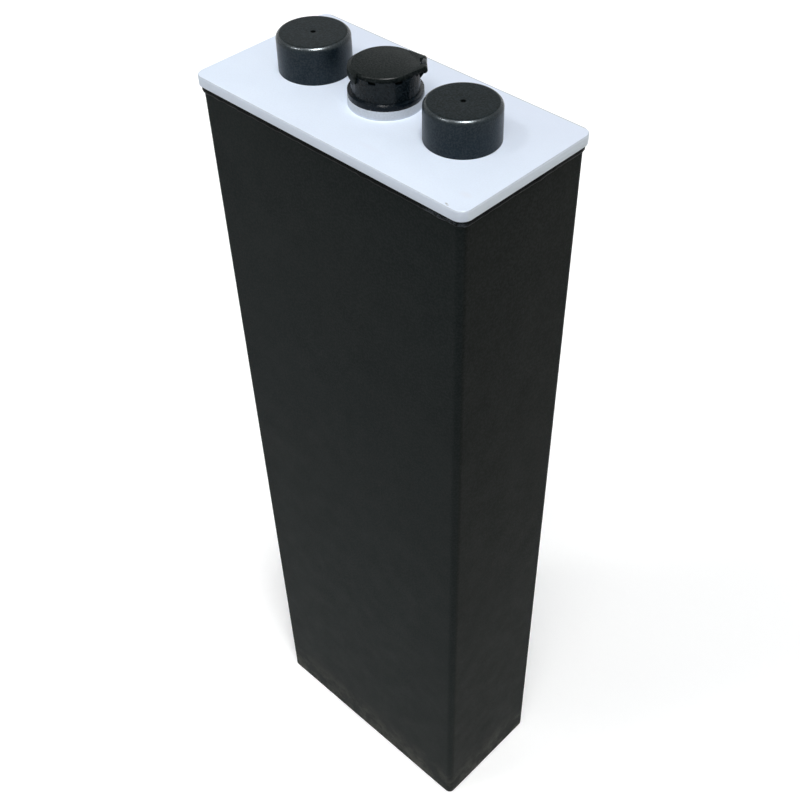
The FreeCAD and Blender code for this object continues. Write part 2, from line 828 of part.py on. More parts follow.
def separator():
    """A sheet with upright ribs on the side that faces the positive plate."""
    body = new_body("separator")
    back = -size.separator_thickness / 2
    web = sketch(body, "XY_Plane", plate_foot)
    rectangle(web, -separator_width / 2, separator_width / 2, back, back + size.separator_web)
    pad(body, web, separator_top - plate_foot)
    rib = sketch(body, "XY_Plane", plate_foot)
    first = -size.separator_rib_pitch * (size.separator_ribs - 1) / 2
    half = size.separator_rib_width / 2
    rectangle(rib, first - half, first + half, back + size.separator_web, -back)
    rib_pad = pad(body, rib, separator_top - plate_foot)
    repeat_along(body, rib_pad, "X_Axis", size.separator_ribs, size.separator_rib_pitch)
    return body


def build_plates():
    """Places negative, separator, positive, separator and so on through the stack."""
    grid = template(positive_grid())
    tubes = template(gauntlet())
    bar = template(bottom_bar())
    inner_plate = template(negative_plate("negative_plate", size.negative_thickness))
    end_plate = template(negative_plate("end_negative_plate", size.end_negative_thickness))
    sheet_of_plastic = template(separator())

    plates = int(size.positive_plates.value)
    beside = (size.tube_diameter + size.separator_thickness) / 2 + size.stack_gap
    for i in range(1, plates + 1):
        across = plate_pitch * (-(size.positive_plates + 1) / 2 + i)
        copy_of(grid, "positive_grid_%d" % i, across)
        copy_of(tubes, "gauntlet_%d" % i, across)
        copy_of(bar, "bottom_bar_%d" % i, across)
        copy_of(sheet_of_plastic, "separator_%d" % (2 * i - 1), across - beside)
        copy_of(sheet_of_plastic, "separator_%d" % (2 * i), across + beside, turned=True)

    thinner = (size.negative_thickness - size.end_negative_thickness) / 2
    for i in range(1, plates + 2):
        across = plate_pitch * (-(size.positive_plates + 2) / 2 + i)
        name = "negative_plate_%d" % i
        if i == 1:
            copy_of(end_plate, name, across + thinner)
        elif i == plates + 1:
            copy_of(end_plate, name, across - thinner)
        else:
            copy_of(inner_plate, name, across)


def build_protector():
    """The perforated shield that lies on the separators between the straps."""
    body = new_body("element_protector")
    shield = sketch(body, "XY_Plane", separator_top)
    breadth = stack_depth - size.protector_margin * 2
    centred_rectangle(shield, size.protector_length, breadth)
    pad(body, shield, size.protector_thickness)
    holes = sketch(body, "XY_Plane", separator_top)
    half = size.protector_hole / 2
    rows = int(size.protector_hole_rows.value)
    steps = [i - (rows - 1) / 2 for i in range(rows)]
    for along in steps:
        for across in steps:
            x = size.protector_hole_pitch * along
            y = size.protector_hole_pitch * across
            rectangle(holes, x - half, x + half, y - half, y + half)
    pocket(body, holes, size.protector_thickness, reverse=True)


# The whole cell

build_container()
build_cell_lid()
for sign, pole_side in (("positive", 1), ("negative", -1)):
    build_cap(sign + "_terminal_cap", pole_side)
    build_insert(sign + "_threaded_insert", pole_side)
build_post("positive_strap_post", 1, positive_strap_length)
build_post("negative_strap_post", -1, negative_strap_length)
build_plug()
build_flip_lid()
build_plates()
build_protector()
document.recompute()

failed = [item.Name for item in document.Objects if {"Invalid", "Error"} & set(item.State)]
failed += [item.Label for item in parts if item.Shape.isNull() or not item.Shape.isValid()]
failed += [item.Label for item in parts if len(item.Shape.Solids) != 1]
if failed:
    raise RuntimeError("these objects failed: " + ", ".join(failed))

os.makedirs("parts", exist_ok=True)
for item in parts:
    item.Shape.exportStep(os.path.join("parts", item.Label + ".step"))
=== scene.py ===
import json
import math

import bmesh
import bpy
from mathutils import Matrix, Vector, noise


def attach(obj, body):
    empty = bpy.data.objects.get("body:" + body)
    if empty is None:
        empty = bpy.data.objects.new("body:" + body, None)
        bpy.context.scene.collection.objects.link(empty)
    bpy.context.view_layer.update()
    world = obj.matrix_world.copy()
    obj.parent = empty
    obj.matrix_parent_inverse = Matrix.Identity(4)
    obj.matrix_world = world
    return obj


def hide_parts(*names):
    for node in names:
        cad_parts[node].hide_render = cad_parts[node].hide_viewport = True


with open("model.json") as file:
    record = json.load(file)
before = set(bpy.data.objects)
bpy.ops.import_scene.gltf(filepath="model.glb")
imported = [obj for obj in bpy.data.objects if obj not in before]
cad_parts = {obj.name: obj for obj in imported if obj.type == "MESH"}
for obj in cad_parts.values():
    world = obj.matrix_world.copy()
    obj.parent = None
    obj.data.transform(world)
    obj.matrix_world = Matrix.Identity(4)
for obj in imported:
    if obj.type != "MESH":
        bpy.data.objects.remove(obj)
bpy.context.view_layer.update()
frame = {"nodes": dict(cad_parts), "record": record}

MM = 0.001
LID_TOP = 580 * MM
POLE_X = 54 * MM
POLE_TOP = LID_TOP + 13 * MM
BUSHING_TOP = LID_TOP + 1.5 * MM
FLANGE_TOP = LID_TOP + 7.9 * MM

# Small mesh tools

SHARP_ANGLE = math.radians(32)
BEVEL_ANGLE = math.radians(28)
FLAT_ANGLE = math.radians(1)
WELD_DISTANCE = 0.002 * MM


def new_object(name, mesh_data, material, body, replaces=()):
    """Puts a finished mesh in the scene, on its body, with smooth shading broken at sharp edges."""
    mesh = bpy.data.meshes.new(name)
    bmesh.ops.recalc_face_normals(mesh_data, faces=mesh_data.faces)
    mesh_data.to_mesh(mesh)
    mesh_data.free()
    mesh.materials.append(material)
    mesh.shade_smooth()
    mesh.set_sharp_from_angle(angle=SHARP_ANGLE)
    item = bpy.data.objects.new(name, mesh)
    bpy.context.scene.collection.objects.link(item)
    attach(item, body)
    if replaces:
        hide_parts(*replaces)
    return item


def join_rings(data, rings):
    """Faces between closed rings of the same number of vertices."""
    for low, high in zip(rings, rings[1:]):
        count = len(low)
        for i in range(count):
            j = (i + 1) % count
            data.faces.new((low[i], low[j], high[j], high[i]))


def lathe(profile, centre, steps):
    """Turns (radius, height) points about a vertical axis. A radius of zero closes the end."""
    data = bmesh.new()
    rings = []
    for radius, height in profile:
        if radius == 0.0:
            rings.append([data.verts.new((centre[0], centre[1], height))])
            continue
        ring = []
        for i in range(steps):
            a = 2 * math.pi * i / steps
            ring.append(data.verts.new((
                centre[0] + radius * math.cos(a), centre[1] + radius * math.sin(a), height)))
        rings.append(ring)
    for low, high in zip(rings, rings[1:]):
        if len(low) == 1 or len(high) == 1:
            tip, ring = (low[0], high) if len(low) == 1 else (high[0], low)
            for i in range(steps):
                data.faces.new((tip, ring[i], ring[(i + 1) % steps]))
        else:
            join_rings(data, [low, high])
    return data


def arc(centre, radius, start, end, steps):
    """Points of an arc in a profile, with angles in degrees."""
    points = []
    for i in range(steps + 1):
        a = math.radians(start + (end - start) * i / steps)
        points.append((centre[0] + radius * math.cos(a), centre[1] + radius * math.sin(a)))
    return points


def soften(node, width):
    """Small roundings on a CAD node's sharp edges, by modifiers alone."""
    node.data.shade_smooth()
    weld = node.modifiers.new("weld", "WELD")
    weld.merge_threshold = WELD_DISTANCE
    flat = node.modifiers.new("flat", "DECIMATE")
    flat.decimate_type = "DISSOLVE"
    flat.angle_limit = FLAT_ANGLE
    bevel = node.modifiers.new("bevel", "BEVEL")
    bevel.width = width
    bevel.segments = 2
    bevel.limit_method = "ANGLE"
    bevel.angle_limit = BEVEL_ANGLE
    bevel.harden_normals = True
    bevel.use_clamp_overlap = True


def walk(length, width, radius, step):
    """Points round a rounded rectangle at even steps, each with its outward direction.

    Every side is a straight stretch and the quarter turn at its end.
    """
    straight = (length - 2 * radius, width - 2 * radius)
    quarter = math.pi / 2 * radius
    total = 2 * sum(straight) + 4 * quarter
    count = round(total / step)
    result = []
    for i in range(count):
        s = total * i / count
        for k in range(4):
            side = straight[(k + 1) % 2]
            turn = math.pi / 2 * k
            out = Vector((math.cos(turn), math.sin(turn)))
            along = Vector((-out.y, out.x))
            corner = Vector((
                (1, -1, -1, 1)[k] * straight[0] / 2,
                (1, 1, -1, -1)[k] * straight[1] / 2))
            if s < side:
                result.append((corner - along * side + out * radius + along * s, out))
                break
            s -= side
            if s < quarter:
                out = Vector((math.cos(turn + s / radius), math.sin(turn + s / radius)))
                result.append((corner + out * radius, out))
                break
            s -= quarter
    return result


# Materials


class Look:
    """A node material built up step by step, in the object's own coordinates.

    A mask is a value from zero to one that says how much of a tint shows.
    """

    def __init__(self, name):
        self.material = bpy.data.materials.new(name)
        self.material.use_nodes = True
        self.tree = self.material.node_tree
        self.shader = self.tree.nodes["Principled BSDF"]
        self.place = self.tree.nodes.new("ShaderNodeTexCoord").outputs["Object"]

    def set(self, **values):
        """Constants on the shader's sockets, with underscores for the spaces in their names."""
        for key, value in values.items():
            self.shader.inputs[key.replace("_", " ")].default_value = value

    def link(self, source, target):
        self.tree.links.new(source, target)

    def noise(self, scale, detail, rough):
        """Soft noise, with the scale in patches to the metre."""
        node = self.tree.nodes.new("ShaderNodeTexNoise")
        node.inputs["Scale"].default_value = scale
        node.inputs["Detail"].default_value = detail
        node.inputs["Roughness"].default_value = rough
        self.link(self.place, node.inputs["Vector"])
        return node.outputs["Fac"]

    def remap(self, source, low, high, to_low=0.0, to_high=1.0):
        node = self.tree.nodes.new("ShaderNodeMapRange")
        node.inputs["From Min"].default_value = low
        node.inputs["From Max"].default_value = high
        node.inputs["To Min"].default_value = to_low
        node.inputs["To Max"].default_value = to_high
        self.link(source, node.inputs["Value"])
        return node.outputs["Result"]

    def math(self, kind, a, b):
        node = self.tree.nodes.new("ShaderNodeMath")
        node.operation = kind
        for slot, item in zip(node.inputs, (a, b)):
            if isinstance(item, (int, float)):
                slot.default_value = item
            else:
                self.link(item, slot)
        return node.outputs["Value"]

    def times(self, a, b):
        return self.math("MULTIPLY", a, b)

    def mix(self, amount, a, b):
        """From colour a, where the amount is zero, to colour b, where it is one."""
        node = self.tree.nodes.new("ShaderNodeMix")
        node.data_type = "RGBA"
        for slot, item in ((node.inputs[0], amount), (node.inputs[6], a), (node.inputs[7], b)):
            if isinstance(item, tuple):
                slot.default_value = (*item, 1.0)
            else:
                self.link(item, slot)
        return node.outputs[2]

    def part(self, axis):
        node = self.tree.nodes.new("ShaderNodeSeparateXYZ")
        self.link(self.place, node.inputs["Vector"])
        return node.outputs[axis]

    def along(self, axis, low, high, to_low=0.0, to_high=1.0):
        """A value that changes along one axis, between two places on it."""
        return self.remap(self.part(axis), low, high, to_low, to_high)

    def mottled(self, scale, detail, rough, dark, light):
        """Two colours in soft patches."""
        return self.mix(self.remap(self.noise(scale, detail, rough), 0.35, 0.7), dark, light)

    def spot(self, centre, radius, soft, stretch=(1, 1, 1)):
        """A mask of an ellipsoid about the centre, falling to nothing over its soft rim."""
        node = self.tree.nodes.new("ShaderNodeMapping")
        node.vector_type = "TEXTURE"
        node.inputs["Location"].default_value = centre
        node.inputs["Scale"].default_value = stretch
        self.link(self.place, node.inputs["Vector"])
        far = self.tree.nodes.new("ShaderNodeVectorMath")
        far.operation = "LENGTH"
        self.link(node.outputs["Vector"], far.inputs[0])
        return self.remap(far.outputs["Value"], radius + soft, radius)

    def flecks(self, base, tint, scale=1100.0, amount=1.0):
        """Fine specks of another colour, as moulded plastic shows in a photograph."""
        specks = self.remap(self.noise(scale, 1.0, 0.5), 0.38, 0.66, 0.0, amount)
        return self.mix(specks, base, tint)

    def colour(self, source):
        self.link(source, self.shader.inputs["Base Color"])

    def roughness(self, source):
        self.link(source, self.shader.inputs["Roughness"])

    def uneven(self, scale, lowest, highest, detail=3.0):
        """A roughness that wanders between two values."""
        return self.remap(self.noise(scale, detail, 0.6), 0.3, 0.7, lowest, highest)

    def bump(self, source, distance, strength, after=None):
        node = self.tree.nodes.new("ShaderNodeBump")
        node.inputs["Distance"].default_value = distance
        node.inputs["Strength"].default_value = strength
        self.link(source, node.inputs["Height"])
        if after is not None:
            self.link(after, node.inputs["Normal"])
        self.link(node.outputs["Normal"], self.shader.inputs["Normal"])
        return node.outputs["Normal"]


CONTAINER_DARK, CONTAINER_LIGHT = (0.0056, 0.0088, 0.0090), (0.0082, 0.0116, 0.0116)
CONTAINER_CLOUD = (0.0104, 0.0130, 0.0122)
CONTAINER_FLECK = (0.0175, 0.0200, 0.0197)
# Painted shade: the short face at +X darker and warmer than the long face.
SHORT_FACE_SHADE_BASE, SHORT_FACE_SHADE_VEIL = (0.0020, 0.0020, 0.0), (0.0035, 0.0030, 0.0)
# Dust and painted floor light: patches that grow lighter towards the foot.
DUST_AND_FLOOR_LIGHT, DUST_AND_FLOOR_LIGHT_TOP = (0.0220, 0.0255, 0.0222), 340 * MM
SCUFF, SCUFF_TOP, SCUFF_FULL = (0.074, 0.071, 0.062), 38 * MM, 3 * MM


def container_look():
    """Black with faint blotches, lighter towards the foot in patches as dust and painted floor
    light, and scuffs along the foot.

    The short face at +X is painted darker and warmer, as painted shade, before and after the
    flecks.
    """
    look = Look("container_black")
    base = look.mottled(24.0, 4.0, 0.6, CONTAINER_DARK, CONTAINER_LIGHT)
    cloud = look.remap(look.noise(7.0, 2.0, 0.5), 0.4, 0.65, 0.0, 0.5)
    base = look.mix(cloud, base, CONTAINER_CLOUD)

    # Painted shade on the short face at +X, darker and warmer.
    short_face_shade = look.along("X", 96 * MM, 98 * MM)
    base = look.mix(short_face_shade, base, SHORT_FACE_SHADE_BASE)
    base = look.flecks(base, CONTAINER_FLECK, 800.0, 0.6)
    base = look.mix(look.times(short_face_shade, 0.6), base, SHORT_FACE_SHADE_VEIL)

    # Lighter towards the foot in patches: dust and painted light from the floor.
    patches = look.remap(look.noise(14.0, 5.0, 0.65), 0.35, 0.7, 0.5, 0.9)
    dust_and_floor_light = look.times(look.along("Z", DUST_AND_FLOOR_LIGHT_TOP, 0.0), patches)
    base = look.mix(look.times(dust_and_floor_light, 0.4), base, DUST_AND_FLOOR_LIGHT)

    patches = look.remap(look.noise(45.0, 5.0, 0.7), 0.44, 0.6)
    scuffs = look.times(look.along("Z", SCUFF_TOP, SCUFF_FULL), patches)
    base = look.mix(look.times(scuffs, 0.8), base, SCUFF)

    look.colour(base)
    look.roughness(look.uneven(60.0, 0.50, 0.58))
    look.set(Specular_IOR_Level=0.03)
    slow = look.bump(look.noise(9.0, 1.0, 0.4), 4 * MM, 0.1)
    look.bump(look.noise(900.0, 2.0, 0.5), 0.06 * MM, 0.5, slow)
    return look.material


LID_DARK, LID_LIGHT = (0.71, 0.795, 0.915), (0.74, 0.825, 0.945)
LID_CLOUD = (0.695, 0.765, 0.88)
# Painted shade: the lid's top a little darker towards the back.
LID_BACK_SHADE = (0.70, 0.755, 0.875)
# Painted shade: a dark line along the lid's far edge.
LID_FAR_EDGE_SHADE = (0.31, 0.31, 0.30)
# Painted shade on the lid's sides, bevel and raised collar, with the short side warmer than the
# long one.
LID_LONG_SIDE_SHADE, LID_SHORT_SIDE_SHADE = (0.67, 0.735, 0.83), (0.67, 0.73, 0.775)
LID_BEVEL_SHADE = (0.48, 0.53, 0.60)
LID_COLLAR_SHADE = (0.495, 0.535, 0.59)
LID_FLECK = (0.68, 0.735, 0.83)
# Marks on the lid's top: place in mm, radius and soft rim in mm, stretch along X and Y, colour.
# The first two are the dark speck at the front corner, the others faint smudges.
LID_MARKS = [
    ((86.9, -48.1), 0.32, 0.5, (1.3, 0.8), (0.36, 0.38, 0.40)),
    ((88.1, -48.7), 0.30, 0.5, (1.4, 0.9), (0.50, 0.53, 0.57)),
    ((89.0, -36.5), 0.8, 2.2, (1.6, 0.9), (0.71, 0.77, 0.87)),
    ((25.0, -38.0), 1.0, 3.0, (3.0, 0.7), (0.715, 0.785, 0.90)),
    ((-83.0, 21.0), 1.5, 4.0, (0.8, 2.4), (0.695, 0.75, 0.86)),
    ((-20.0, 40.0), 1.4, 3.0, (2.0, 1.0), (0.695, 0.75, 0.86)),
]


def lid_look():
    """Pale and bluish, with painted shade: a little darker towards the back, a dark line along the
    far edge, and greyer bevel, sides and collar.
    """
    look = Look("lid_pale")
    smudge = look.remap(look.noise(38.0, 4.0, 0.6), 0.3, 0.72)
    base = look.mix(smudge, LID_DARK, LID_LIGHT)
    cloud = look.remap(look.noise(9.0, 2.0, 0.5), 0.5, 0.75, 0.0, 0.6)
    base = look.mix(cloud, base, LID_CLOUD)
    # Painted shade, a little darker towards the back.
    base = look.mix(look.along("Y", -30 * MM, 50 * MM, 0.0, 0.75), base, LID_BACK_SHADE)
    # Painted shade along the far edge.
    base = look.mix(look.along("Y", 48.8 * MM, 49.2 * MM, 0.0, 0.8), base, LID_FAR_EDGE_SHADE)

    # Away from the top, the narrow bevel comes first and then the side, both greyer as painted
    # shade
    off_top = look.math("ABSOLUTE", look.math("SUBTRACT", look.part("Z"), LID_TOP), 0.0)
    side = look.mix(look.along("X", 98.2 * MM, 98.8 * MM), LID_LONG_SIDE_SHADE, LID_SHORT_SIDE_SHADE)
    base = look.mix(look.remap(off_top, 0.03 * MM, 0.15 * MM), base, LID_BEVEL_SHADE)
    base = look.mix(look.remap(off_top, 0.4 * MM, 0.6 * MM), base, side)
    # Painted shade on the raised collar.
    collar_shade = look.along("Z", LID_TOP + 0.4 * MM, LID_TOP + 1.0 * MM)
    base = look.mix(collar_shade, base, LID_COLLAR_SHADE)

    base = look.flecks(base, LID_FLECK, 1100.0, 0.3)
    for (x, y), radius, soft, (along_x, along_y), tint in LID_MARKS:
        centre = (x * MM, y * MM, LID_TOP)
        mark = look.spot(centre, radius * MM, soft * MM, (along_x, along_y, 1))
        base = look.mix(mark, base, tint)

    look.colour(base)
    look.roughness(look.uneven(80.0, 0.42, 0.55))
    look.set(Specular_IOR_Level=0.35)
    look.bump(look.noise(700.0, 2.0, 0.5), 0.04 * MM, 0.4)
    return look.material


# Painted reflection: bluish below the flange top. Painted shade: near black inside the barrel.
FLANGE_REFLECTION_TINT = (0.0, 0.0030, 0.0065)
BARREL_SHADE, BARREL_RADIUS = (0.0004, 0.0009, 0.0012), 17.0 * MM


def moulded_look(
        name, dark, light, rough, specular, fleck=None, flange_top=None,
        grain=1200.0, grain_height=0.08 * MM):
    """Grained plastic. A flange top paints it bluish below that height as painted reflection of the
    pale lid, and near black in the barrel as painted shade.
    """
    look = Look(name)
    base = look.mottled(160.0, 4.0, 0.6, dark, light)
    if fleck:
        base = look.flecks(base, fleck)
    if flange_top:
        # Painted reflection below the flange top and painted shade inside the barrel.
        flange_reflection = look.along("Z", flange_top + 0.8 * MM, flange_top, 0.0, 0.75)
        base = look.mix(flange_reflection, base, FLANGE_REFLECTION_TINT)
        barrel_shade = look.spot((0.0, 0.0, flange_top), BARREL_RADIUS, 0.3 * MM, (1, 1, 20))
        deep = look.times(barrel_shade, look.along("Z", flange_top + 3 * MM, flange_top))
        base = look.mix(deep, base, BARREL_SHADE)
    look.colour(base)
    look.roughness(look.uneven(220.0, rough - 0.06, rough + 0.06))
    look.set(Specular_IOR_Level=specular)
    look.bump(look.noise(grain, 3.0, 0.6), grain_height, 0.6)
    return look.material


# The wall's bluish tint is partly painted reflection of the pale lid; the top's greyer tone is
# painted light.
CAP_DARK, CAP_LIGHT = (0.0003, 0.0048, 0.0092), (0.0036, 0.0104, 0.0164)
CAP_FLECK = (0.0150, 0.0215, 0.0265)
CAP_TOP_SHADING_BASE, CAP_TOP_SHADING_VEIL = (0.0022, 0.0046, 0.0036), (0.0078, 0.0118, 0.0125)
# Painted shade in the dimple.
CAP_DIMPLE_SHADE = (0.004, 0.0052, 0.0050)
CAP_SHINE, CAP_RIM_SHINE, CAP_FACE_SHINE = 0.21, 0.31, 0.22
CAP_FACE_LOW, CAP_FACE_HIGH = LID_TOP + 20.15 * MM, LID_TOP + 20.3 * MM


def cap_look():
    """Bluish on the wall and greyer on top, as painted reflection and light, with painted shade in
    the dimple and a worn, shinier rim.

    The face within the rim keeps only a share of the shine, and the dimple has none.
    """
    look = Look("cap_black")
    base = look.mottled(160.0, 4.0, 0.6, CAP_DARK, CAP_LIGHT)
    # Painted light: the top tinted greyer than the wall.
    top_shading = look.along("Z", LID_TOP + 18 * MM, LID_TOP + 20.2 * MM)
    base = look.mix(top_shading, base, CAP_TOP_SHADING_BASE)
    base = look.flecks(base, CAP_FLECK)
    base = look.mix(look.times(top_shading, 0.35), base, CAP_TOP_SHADING_VEIL)
    dull = 0.0
    for x in (POLE_X, -POLE_X):
        dimple = (x, 0.0, LID_TOP + 20 * MM)
        # Painted shade in each dimple.
        base = look.mix(look.spot(dimple, 1.1 * MM, 0.9 * MM), base, CAP_DIMPLE_SHADE)
        dull = look.math("ADD", look.spot(dimple, 1.3 * MM, 0.5 * MM), dull)
    look.colour(base)

    rim = look.times(
        look.along("Z", LID_TOP + 18.6 * MM, LID_TOP + 19.5 * MM),
        look.along("Z", CAP_FACE_HIGH, CAP_FACE_LOW))
    rough = look.uneven(220.0, 0.28, 0.38)
    look.roughness(look.math("SUBTRACT", rough, look.times(rim, 0.06)))
    shine = look.remap(rim, 0.0, 1.0, CAP_SHINE, CAP_RIM_SHINE)
    shine = look.times(shine, look.math("SUBTRACT", 1.0, dull))
    shine = look.times(shine, look.along("Z", CAP_FACE_LOW, CAP_FACE_HIGH, 1.0, CAP_FACE_SHINE))
    look.link(shine, look.shader.inputs["Specular IOR Level"])
    look.set(Specular_Tint=(0.86, 0.95, 1.0, 1.0))
    look.bump(look.noise(1300.0, 3.0, 0.6), 0.12 * MM, 0.45)
    return look.material


BEAD_DARK, BEAD_LIGHT = (0.0004, 0.0010, 0.0011), (0.0012, 0.0020, 0.0022)
BEAD_FLECK = (0.0045, 0.0060, 0.0060)
# A painted highlight on the bead at the front corner.
BEAD_HIGHLIGHT, BEAD_HIGHLIGHT_PLACE = (0.055, 0.064, 0.074), (88 * MM, -48.5 * MM, 570.8 * MM)


def bead_look():
    """Nearly black, with a painted highlight: a paler, broken stretch at the front corner."""
    look = Look("bead_black")
    base = look.mottled(90.0, 4.0, 0.6, BEAD_DARK, BEAD_LIGHT)
    # Painted highlight, in broken patches, near the front corner.
    corner = look.spot(BEAD_HIGHLIGHT_PLACE, 9 * MM, 9 * MM, (1.2, 0.5, 0.14))
    bead_highlight = look.times(corner, look.remap(look.noise(420.0, 3.0, 0.7), 0.40, 0.56))
    base = look.mix(bead_highlight, base, BEAD_HIGHLIGHT)
    base = look.flecks(base, BEAD_FLECK, 1000.0, 0.6)
    look.colour(base)
    look.roughness(look.uneven(220.0, 0.34, 0.46))
    look.set(Specular_IOR_Level=0.04)
    look.bump(look.noise(900.0, 3.0, 0.6), 0.1 * MM, 0.6)
    return look.material


def lead_look():
    """Dull grey cast metal."""
    look = Look("lead")
    look.colour(look.mottled(120.0, 4.0, 0.6, (0.20, 0.21, 0.225), (0.34, 0.35, 0.37)))
    look.roughness(look.uneven(260.0, 0.38, 0.62))
    look.set(Metallic=0.85)
    look.bump(look.noise(420.0, 3.0, 0.6), 0.1 * MM, 0.6)
    return look.material


def brass_look():
    """Machined brass, slightly tarnished."""
    look = Look("brass")
    tarnish = look.remap(look.noise(300.0, 3.0, 0.6), 0.3, 0.7)
    look.colour(look.mix(tarnish, (0.56, 0.40, 0.15), (0.68, 0.50, 0.21)))
    look.roughness(look.uneven(900.0, 0.25, 0.4, 2.0))
    look.set(Metallic=1.0)
    look.bump(look.noise(1500.0, 2.0, 0.6), 0.03 * MM, 0.5)
    return look.material


CONTAINER = container_look()
LID = lid_look()
CAP = cap_look()
PLUG = moulded_look(
    "plug_grey", dark=(0.0, 0.0020, 0.0035), light=(0.003, 0.0060, 0.0080),
    rough=0.26, specular=0.135, fleck=(0.010, 0.0150, 0.0190), flange_top=FLANGE_TOP,
    grain=1300.0, grain_height=0.12 * MM)
FLIP = moulded_look(
    "flip_lid_grey", dark=(0.0020, 0.0042, 0.0042), light=(0.0050, 0.0074, 0.0068),
    rough=0.34, specular=0.036, fleck=(0.0170, 0.0210, 0.0205))
BEAD = bead_look()
RUBBER = moulded_look(
    "rubber_black", dark=(0.012, 0.012, 0.012), light=(0.02, 0.02, 0.02),
    rough=0.6, specular=0.4)
SHEET = moulded_look(
    "separator_grey", dark=(0.14, 0.14, 0.14), light=(0.18, 0.18, 0.18),
    rough=0.7, specular=0.3)
TUBES = moulded_look(
    "gauntlet_cloth", dark=(0.10, 0.06, 0.04), light=(0.16, 0.10, 0.07),
    rough=0.85, specular=0.2, grain=1600.0, grain_height=0.2 * MM)
PASTE = moulded_look(
    "negative_mass", dark=(0.20, 0.21, 0.22), light=(0.26, 0.27, 0.29),
    rough=0.8, specular=0.3)
LEAD = lead_look()
BRASS = brass_look()

BY_SLOT = {
    "container_black": CONTAINER,
    "lid_pale": LID,
    "cap_black": CAP,
    "plug_grey": PLUG,
    "flip_lid_grey": FLIP,
    "lead": LEAD,
    "brass": BRASS,
    "gauntlet_cloth": TUBES,
    "bar_plastic": PLUG,
    "negative_mass": PASTE,
    "separator_grey": SHEET,
}
for row in frame["record"]["subparts"]:
    node = frame["nodes"][row["node"]]
    node.data.materials.clear()
    node.data.materials.append(BY_SLOT[row["material_slot"]])

# Terminal caps

CAP_STEPS = 160
RIB_INNER, RIB_OUTER, RIB_HALF = 12.3 * MM, 18.6 * MM, 0.8 * MM
RIB_LOW, RIB_HIGH = LID_TOP + 2.5 * MM, LID_TOP + 18.2 * MM


def cap_profile():
    """From the dimple over the dished top and rounded rim, down the wall and up the inside."""
    top = LID_TOP + 20.4 * MM
    rim_radius = 2.8 * MM
    foot_radius = 0.3 * MM
    inner_radius = 18.2 * MM
    ceiling = LID_TOP + 18.1 * MM
    dimple = [
        (0.0, top - 0.9 * MM), (0.7 * MM, top - 0.9 * MM), (0.95 * MM, top - 0.7 * MM),
        (1.1 * MM, top - 0.25 * MM), (1.3 * MM, top - 0.1 * MM)]
    dish = [
        (1.9 * MM, top - 0.07 * MM), (8 * MM, top - 0.04 * MM), (14 * MM, top), (17 * MM, top)]
    rim = arc((20.35 * MM - rim_radius, top - rim_radius), rim_radius, 90, 2, 12)
    wall = [(20.45 * MM, LID_TOP + 8 * MM), (20.5 * MM, LID_TOP + 0.5 * MM)]
    foot = arc((20.2 * MM, LID_TOP + foot_radius), foot_radius, 0, -90, 3)
    inside = [(inner_radius, LID_TOP), (inner_radius, ceiling), (0.0, ceiling)]
    return dimple + dish + rim + wall + foot + inside


def build_cap(name, x, body, node):
    """A cap with the four inner ribs that grip the pole."""
    data = lathe(cap_profile(), (x, 0.0), CAP_STEPS)
    outline = (
        (RIB_INNER, -RIB_HALF), (RIB_OUTER, -RIB_HALF), (RIB_OUTER, RIB_HALF),
        (RIB_INNER, RIB_HALF))
    for k in range(4):
        a = math.radians(45 + 90 * k)
        turn = Matrix.Translation((x, 0, 0)) @ Matrix.Rotation(a, 4, "Z")
        corners = []
        for z in (RIB_LOW, RIB_HIGH):
            for px, py in outline:
                corners.append(data.verts.new(turn @ Vector((px, py, z))))
        for face in (
                (3, 2, 1, 0), (4, 5, 6, 7), (0, 1, 5, 4),
                (1, 2, 6, 5), (2, 3, 7, 6), (3, 0, 4, 7)):
            data.faces.new([corners[i] for i in face])
    item = new_object(name, data, CAP, body, [node])
    return item


build_cap("positive_cap_skin", POLE_X, "positive_cap", "positive_terminal_cap")
build_cap("negative_cap_skin", -POLE_X, "negative_cap", "negative_terminal_cap")

# Weld bead between the container's rim and the lid

BEAD_LENGTH, BEAD_WIDTH, BEAD_CORNER = 193.5 * MM, 95.5 * MM, 4.5 * MM
BEAD_STEP = 1.3 * MM


def bead_section(point):
    """Outline of the bead at one place, as (reach, height) in mm, from the lid down."""
    spot = Vector((point.x, point.y, 0.0)) * 1000
    slow = noise.noise(spot * 0.055) * 0.3
    fine = noise.noise(spot * 0.31 + Vector((7, 3, 1))) * 0.34
    lump = max(0.0, noise.noise(spot * 0.12 + Vector((2, 9, 4))) - 0.25) * 1.1
    reach = 0.84 + max(0.0, 0.26 + slow + fine * 0.6 + lump)
    drop = 0.35 * noise.noise(spot * 0.2 + Vector((5, 5, 5))) + 0.4 * lump
    return [
        (-0.3, 574.19), (0.78, 574.19), (0.8, 573.2), (0.84, 572.3 - drop * 0.3),
        (reach, 571.75 - drop * 0.5), (reach + 0.08, 571.2 - drop * 0.6),
        (reach - 0.06, 570.6 - drop * 0.8), (reach - 0.35, 570.15 - drop), (-0.2, 569.85 - drop)]


def build_bead():
    """The squeezed-out bead, uneven along its way round."""
    data = bmesh.new()
    rows = []
    for point, out in walk(BEAD_LENGTH, BEAD_WIDTH, BEAD_CORNER, BEAD_STEP):
        rows.append([
            data.verts.new((point.x + out.x * r * MM, point.y + out.y * r * MM, z * MM))
            for r, z in bead_section(point)])
    for a, b in zip(rows, rows[1:] + rows[:1]):
        for k in range(len(a) - 1):
            data.faces.new((a[k], b[k], b[k + 1], a[k + 1]))
    return new_object("weld_bead", data, BEAD, "cell")


build_bead()

# Rubber rings at the poles, seen when a cap is pulled off

RING_STEPS = 96


